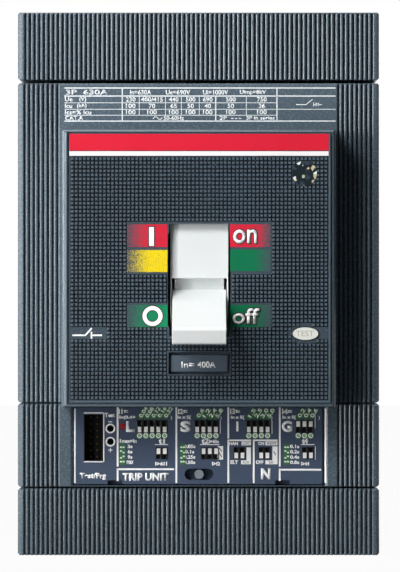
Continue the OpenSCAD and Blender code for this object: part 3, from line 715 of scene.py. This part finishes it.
class BREAKER_OT_panel_prints(bpy.types.Operator):
    """Prints the trip unit's frames, letters and captions"""
    bl_idname = "breaker.panel_prints"
    bl_label = "Add Panel Prints"

    def execute(self, context):
        cx, cz = panel_place()
        depth = PANEL_DEPTH + INK
        uprights = ((-31.4, -7.95, 15.2, 0.72), (-31.4, -13.5, -8.7, 0.72), (-8.75, -14.3, 15.2, 0.7),
                    (11.3, 2.8, 15.2, 0.7), (11.3, -14.3, 2.25, 0.7), (21.1, -14.3, 2.25, 0.7),
                    (31.15, -8.0, 15.2, 0.7), (31.15, -13.5, -8.75, 0.7))
        levels = ((-9.0, -31.6, -9.65, 0.7), (2.15, 11.0, 20.1, 0.6), (2.15, 20.8, 30.3, 0.6),
                  (-9.2, 31.15, 47.2, 0.7), (12.7, -44.4, -36.9, 0.5), (-6.15, -44.4, -36.9, 0.35))
        bm = bmesh.new()
        for x, z0, z1, width in uprights:
            add_stroke(bm, cx + x, cz + z0, cx + x, cz + z1, width, depth)
        for z, x0, x1, width in levels:
            add_stroke(bm, cx + x0, cz + z, cx + x1, cz + z, width, depth)
        add_stroke(bm, cx - 36.75, cz - 6.1, cx - 36.75, cz + 12.7, 0.4, depth)
        words = (("L", -26.5, 7.5, 2.7, 3.8, 0.2), ("S", -5.2, 7.5, 3.2, 3.9, 0.2),
                 ("G", 33.95, 7.5, 3.5, 3.9, 0.2), ("N", 25.75, -10.8, 3.2, 3.8, 0.2),
                 ("Test/Prg", -40.9, -11.8, 9.9, 2.5, 0.07),
                 ("Test", -34.4, 11.9, 3.8, 1.5, 0.03), ("TRIP UNIT", -20.6, -12.0, 17.5, 2.7, 0.1),
                 ("I1=", -29.2, 13.3, 3.4, 1.9, 0.05), ("In(0.4+", -27.6, 10.95, 6.2, 1.5, 0.02),
                 ("I2=", -6.3, 13.3, 3.4, 1.9, 0.05), ("In x S(", -5.7, 10.95, 5.0, 1.5, 0.02),
                 ("I3=", 13.9, 13.3, 3.6, 1.9, 0.05), ("In x S(", 14.9, 10.95, 5.0, 1.5, 0.02),
                 ("I4=", 34.0, 13.3, 3.6, 1.9, 0.05), ("In x S(", 34.8, 10.95, 5.0, 1.5, 0.02),
                 ("I1max=In", -27.6, 1.9, 7.0, 1.4, 0.02), ("t1", -14.3, 1.9, 2.1, 2.1, 0.1),
                 ("t2", 2.4, 1.9, 2.5, 2.1, 0.1), ("I=6In", 5.8, 1.7, 3.6, 1.2, 0.02),
                 ("t4", 40.9, 1.9, 2.1, 2.1, 0.1),
                 ("I>6I1", -14.6, -6.9, 4.4, 1.3, 0.03), ("I>I2", 6.6, -6.9, 3.0, 1.3, 0.03),
                 ("I>I4", 41.0, -6.9, 3.0, 1.3, 0.03), ("MAN", 13.3, 0.9, 3.4, 1.2, 0.03),
                 ("ON", 24.0, 0.9, 2.2, 1.2, 0.03), ("ELT", 13.6, -6.3, 2.8, 1.3, 0.03),
                 ("OFF", 23.4, -6.3, 2.8, 1.3, 0.03))
        for text, x, z, width, height, swell in words:
            add_words(bm, text, cx + x, cz + z, width, height, depth, swell=swell + 0.07)
        add_bar(bm, cx + 14.35, cz + 5.6, cx + 15.2, cz + 9.4, depth)
        add_stroke(bm, cx - 35.0, cz + 9.3, cx - 33.5, cz + 9.3, 0.35, depth)
        add_stroke(bm, cx - 35.0, cz - 1.6, cx - 33.4, cz - 1.6, 0.35, depth)
        add_stroke(bm, cx - 34.2, cz - 2.4, cx - 34.2, cz - 0.8, 0.35, depth)
        for bank in ("t1", "t2", "t4"):
            low, high = (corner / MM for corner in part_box("sliders_" + bank))
            add_stroke(bm, low.x - 0.7, cz + 0.5, high.x + 0.6, cz + 0.5, 0.28, depth)
        for bank in ("i2", "i3", "i4", "t4"):
            low, high = (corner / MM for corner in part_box("sliders_" + bank))
            add_stroke(bm, high.x + 1.0, low.z - 0.6, high.x + 1.0, low.z + 4.6, 0.22, depth)
        for mark in (-10.7, 8.4, 28.0, 46.3):
            add_words(bm, ")", cx + mark, cz + 10.8, 0.6, 1.7, depth)
        for group, texts in ((-26.6, ("3s", "6s", "9s", "max")), (-3.6, ("0.05s", "0.1s", "0.25s", "0.50s")),
                             (36.9, ("0.1s", "0.2s", "0.4s", "0.8s"))):
            for row, text in enumerate(texts):
                z = cz - 0.2 - row * ROW_STEP
                add_words(bm, text, cx + group, z, 0.85 * len(text), 1.25, depth, swell=0.08)
        fields = ((7.2, -5.3, 9.3, -0.1), (18.3, -5.6, 20.0, -0.6), (16.2, -7.1, 20.0, -5.6),
                  (16.4, 0.2, 20.0, 1.7), (28.3, -5.7, 30.3, -0.2), (25.6, -7.1, 30.3, -5.6),
                  (25.6, 0.2, 30.3, 1.7))
        for x0, z0, x1, z1 in fields:
            add_bar(bm, cx + x0, cz + z0, cx + x1, cz + z1, depth)
        finish_print(bm)
        make_piece("panel_print", bm, printed("panel_ink_white", "FFFFFF"))
        bm = bmesh.new()
        for words, x, z, width in (("LOC", 18.2, 0.95, 2.6), ("REM", 28.0, 0.95, 3.2),
                                   ("50", 27.8, -6.35, 1.8), ("AUX", 18.1, -6.35, 2.6)):
            add_words(bm, words, cx + x, cz + z, width, 1.0, depth + INK)
        for x0, z0, x1, z1 in ((7.8, -0.8, 8.8, -2.2), (7.8, -2.6, 8.8, -4.4), (28.8, -2.2, 29.6, -3.6)):
            add_stroke(bm, cx + x0, cz + z0, cx + x1, cz + z1, 0.3, depth + INK)
        finish_print(bm)
        make_piece("panel_print_dark", bm, printed("panel_ink_dark", "2A323C"))
        return {"FINISHED"}


class BREAKER_OT_panel_edge_highlights(bpy.types.Operator):
    """Paints a white highlight down each side of the trip unit, on the left-facing chamfers that catch the
    light
    """
    bl_idname = "breaker.panel_edges"
    bl_label = "Add Panel Edge Lines"

    def execute(self, context):
        low, high = (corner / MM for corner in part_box("trip_unit_panel"))
        slant = Matrix.Rotation(math.radians(-45), 3, "Z")  # the lines lie on chamfers
        width, reach = 0.86, 0.3 - INK
        middle = (low.z + high.z) / 2
        bm = bmesh.new()
        for x, depth in ((low.x - 0.02, PANEL_DEPTH - 0.77), (high.x + 0.3, BODY_DEPTH - 0.95)):
            made = bmesh.ops.create_grid(bm, x_segments=1, y_segments=1, size=0.5, matrix=FACE_ON)
            bmesh.ops.scale(bm, verts=made["verts"], vec=(width, 1, high.z - low.z - 0.8))
            bmesh.ops.rotate(bm, verts=made["verts"], matrix=slant)
            bmesh.ops.translate(bm, verts=made["verts"], vec=(x + reach, -depth - reach, middle))
        bmesh.ops.scale(bm, verts=bm.verts, vec=(MM, MM, MM))
        finish_print(bm)
        # Painted highlight: white in the place of the light that the chamfers catch.
        make_piece("panel_edge_highlights", bm, printed("edge_highlight_white", "FFFFFF"))
        return {"FINISHED"}


class BREAKER_OT_panel_scales(bpy.types.Operator):
    """Prints the green scales over and beside the setting switches"""
    bl_idname = "breaker.panel_scales"
    bl_label = "Add Setting Scales"

    def execute(self, context):
        cx, cz = panel_place()
        depth = PANEL_DEPTH + INK
        field = bmesh.new()
        marks = bmesh.new()
        scales = (("i1", ("0.04", "0.08", "0.12", "0.16", "0.32")), ("i2", ("0.6", "1.2", "2.4", "5.8")),
                  ("i3", ("1.5", "2.5", "3.0", "5.0")), ("i4", ("0.2", "0.4", "0.6")))
        for bank, values in scales:
            low, high = (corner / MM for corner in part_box("sliders_" + bank))
            step = (high.x - low.x - 1.4) / (len(values) - 1)
            for i, value in enumerate(values):
                x = low.x + 0.7 + i * step
                add_stroke(field, x - 0.3, cz + 10.3, x + 2.3, cz + 14.2, 1.75, depth)
                run = min(4.4, 1.2 * len(value))
                add_slanted(marks, value, x + 0.3, cz + 11.2, run, 1.5, depth + INK)
                add_ring(marks, x, cz + 3.95, 1.02, 0.55, depth + INK, segments=20)
                add_ring(field, x, cz + 3.8, 1.12, 0, depth, segments=20)
                add_stroke(marks, x - 0.35, cz + 3.6, x + 0.35, cz + 4.3, 0.25, depth + INK)
        for x in (-29.6, -6.3, 33.8):
            for row in range(4):
                z = cz - 0.2 - row * ROW_STEP
                add_bar(field, cx + x - 1.1, z - 0.95, cx + x + 1.1, z + 0.95, depth)
                for side, up in ((-0.5, row % 2), (0.5, row // 2)):
                    at, lift = cx + x + side, 0.3 if up else -0.3
                    add_bar(marks, at - 0.4, z + lift - 0.3, at + 0.4, z + lift + 0.25, depth + INK)
        finish_print(field)
        finish_print(marks)
        make_piece("scale_fields", field, printed("scale_ink_green", "3D7345"))
        make_piece("scale_marks", marks, printed("scale_ink_pale", "EAFBE4"))
        return {"FINISHED"}


# Studio


def white_rays(tree, coordinates, near, far):
    """1 for camera rays, and for mirrored and refracted ones that go back past near towards far."""
    path = add(tree, "ShaderNodeLightPath")
    shiny = add(tree, "ShaderNodeMath", {"operation": "MAXIMUM"},
                links={0: (path, "Is Glossy Ray"), 1: (path, "Is Transmission Ray")})
    place = add(tree, "ShaderNodeTexCoord")
    axes = add(tree, "ShaderNodeSeparateXYZ", links={"Vector": (place, coordinates)})
    behind = add(tree, "ShaderNodeMapRange", values={"From Min": near, "From Max": far},
                 links={"Value": (axes, "Y")})
    mirrored = add(tree, "ShaderNodeMath", {"operation": "MULTIPLY"},
                   links={0: (shiny, "Value"), 1: (behind, "Result")})
    return add(tree, "ShaderNodeMath", {"operation": "MAXIMUM"},
               links={0: (path, "Is Camera Ray"), 1: (mirrored, "Value")})


def white_to_camera(material, strength, keep):
    """A painted surface that the camera sees white, but for the share of its shadow that it keeps."""
    tree = material.node_tree
    tree.nodes.clear()
    seen = white_rays(tree, "Object", 0.0, 0.05)
    amount = add(tree, "ShaderNodeMath", {"operation": "MULTIPLY"}, {1: 1 - keep}, {0: (seen, "Value")})
    cloud = add(tree, "ShaderNodeTexNoise", values={"Scale": 6.0})
    paint = add(tree, "ShaderNodeMix", {"data_type": "RGBA"}, {"A": srgb("787878"), "B": srgb("8C8C8C")},
                {"Factor": (cloud, "Fac")})
    matt = add(tree, "ShaderNodeBsdfDiffuse", links={"Color": (paint, "Result")})
    glow = add(tree, "ShaderNodeEmission", values={"Color": (1, 1, 1, 1), "Strength": strength})
    mixed = add(tree, "ShaderNodeMixShader",
                links={0: (amount, "Value"), 1: (matt, "BSDF"), 2: (glow, "Emission")})
    add(tree, "ShaderNodeOutputMaterial", links={"Surface": (mixed, "Shader")})


def add_lamp(name, towards, distance, power, width, height, aim=(0, -0.09, 0)):
    """A soft rectangular lamp in a direction from the object, turned to it."""
    lamp = bpy.data.lights.new(name, "AREA")
    lamp.shape = "RECTANGLE"
    lamp.energy = power
    lamp.size = width
    lamp.size_y = height
    made = bpy.data.objects.new(name, lamp)
    bpy.context.scene.collection.objects.link(made)
    away = Vector(towards).normalized()
    made.location = Vector(aim) + away * distance
    made.rotation_euler = (-away).to_track_quat("-Z", "Y").to_euler()
    made.visible_camera = False


class BREAKER_OT_studio(bpy.types.Operator):
    """Sets the camera, the lamps, the floor and the backdrop"""
    bl_idname = "breaker.studio"
    bl_label = "Set Studio"

    def execute(self, context):
        scene = context.scene
        studio = scene.breaker_studio
        scene.view_settings.view_transform = "Standard"
        eye = bpy.data.cameras.new("camera")
        eye.lens = studio.lens
        eye.sensor_width = 36
        camera = bpy.data.objects.new("camera", eye)
        camera.location = Vector((VIEW_CENTRE[0], -BODY_DEPTH, VIEW_CENTRE[1])) * MM
        camera.location.y -= studio.distance
        camera.rotation_euler = (math.pi / 2, 0, 0)
        scene.collection.objects.link(camera)
        scene.camera = camera
        add_lamp("key", (-0.65, -1.0, 0.85), 0.8, studio.key, 0.26, 0.26)
        add_lamp("tall_left", (-1.05, -1.0, 0.0), 0.9, studio.tall, 0.1, 0.9)
        add_lamp("fill", (-0.58, -1.0, 0.0), 0.9, studio.fill, 0.1, 0.9)
        add_lamp("side", (-1.0, -0.14, 0.1), 0.9, studio.side, 0.1, 0.6)
        add_lamp("strip", (0.96, -0.28, 0.0), 1.0, studio.strip, 0.05, 0.8)
        add_lamp("top", (-0.1, -0.12, 1.2), 1.1, studio.top, 0.8, 0.2)
        add_lamp("rear_left", (-0.6, 1.0, 0.4), 1.3, studio.rear_left, 0.7, 0.9, (0, 0, 0))
        add_lamp("rear_right", (0.7, 1.0, 0.5), 1.3, studio.rear_right, 0.7, 0.9, (0, 0, 0))
        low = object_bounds()[0].z
        for name, size, place, strength, keep in (("floor", (2.2, 2.0, 1), (0, 0.72, low), 1.04, 0.08),
                                                  ("backdrop", (3, 2, 1), (0, 1.7, low + 1), 1.0, 0.0)):
            bm = bmesh.new()
            bmesh.ops.create_grid(bm, x_segments=1, y_segments=1, size=0.5,
                                  matrix=Matrix.Diagonal((*size, 1)))
            if name == "backdrop":
                bmesh.ops.transform(bm, matrix=FACE_ON, verts=bm.verts)
            bmesh.ops.translate(bm, vec=place, verts=bm.verts)
            mesh = bpy.data.meshes.new(name)
            bm.to_mesh(mesh)
            bm.free()
            paint = bpy.data.materials.new("painted_" + name)
            paint.use_nodes = True
            white_to_camera(paint, strength, keep)
            mesh.materials.append(paint)
            made = bpy.data.objects.new(name, mesh)
            scene.collection.objects.link(made)
            made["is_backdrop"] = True
        world = bpy.data.worlds.new("studio")
        world.use_nodes = True
        scene.world = world
        tree = world.node_tree
        tree.nodes.clear()
        white = white_rays(tree, "Generated", 0.8, 0.95)
        dim = add(tree, "ShaderNodeBackground", values={"Color": (0.92, 0.96, 1, 1),
                                                        "Strength": studio.ambient})
        bright = add(tree, "ShaderNodeBackground", values={"Color": (1, 1, 1, 1), "Strength": 1.0})
        mixed = add(tree, "ShaderNodeMixShader", links={0: (white, "Value"), 1: (dim, "Background"),
                                                        2: (bright, "Background")})
        add(tree, "ShaderNodeOutputWorld", links={"Surface": (mixed, "Shader")})
        return {"FINISHED"}


class BREAKER_PT_panel(bpy.types.Panel):
    """Lists the breaker's settings and steps"""
    bl_label = "Circuit Breaker"
    bl_idname = "BREAKER_PT_panel"
    bl_space_type = "VIEW_3D"
    bl_region_type = "UI"
    bl_category = "Breaker"

    def draw(self, context):
        for place, kind in GROUPS:
            box = self.layout.box()
            for name in kind.__annotations__:
                box.prop(getattr(context.scene, place), name)
        for step in STEPS:
            self.layout.operator(step.bl_idname)


GROUPS = (("breaker_finish", BreakerFinish), ("breaker_grip", BreakerGrip), ("breaker_studio", BreakerStudio))
STEPS = (BREAKER_OT_housing, BREAKER_OT_toggle, BREAKER_OT_trip_unit, BREAKER_OT_socket,
         BREAKER_OT_terminals, BREAKER_OT_grip, BREAKER_OT_labels, BREAKER_OT_cover_prints,
         BREAKER_OT_rating_table, BREAKER_OT_panel_prints, BREAKER_OT_panel_edge_highlights,
         BREAKER_OT_panel_scales, BREAKER_OT_studio)


def register():
    """Registers the classes and hangs the settings on the scene."""
    for kind in [group for _, group in GROUPS] + list(STEPS) + [BREAKER_PT_panel]:
        bpy.utils.register_class(kind)
    for name, group in GROUPS:
        setattr(bpy.types.Scene, name, PointerProperty(type=group))


def unregister():
    """Takes off what register put on."""
    for name, _ in GROUPS:
        delattr(bpy.types.Scene, name)
    for kind in [BREAKER_PT_panel] + list(reversed(STEPS)) + [group for _, group in GROUPS]:
        bpy.utils.unregister_class(kind)


def main():
    """Runs every step in order."""
    register()
    for step in STEPS:
        group, name = step.bl_idname.split(".")
        getattr(getattr(bpy.ops, group), name)()


if __name__ == "__main__":
    main()
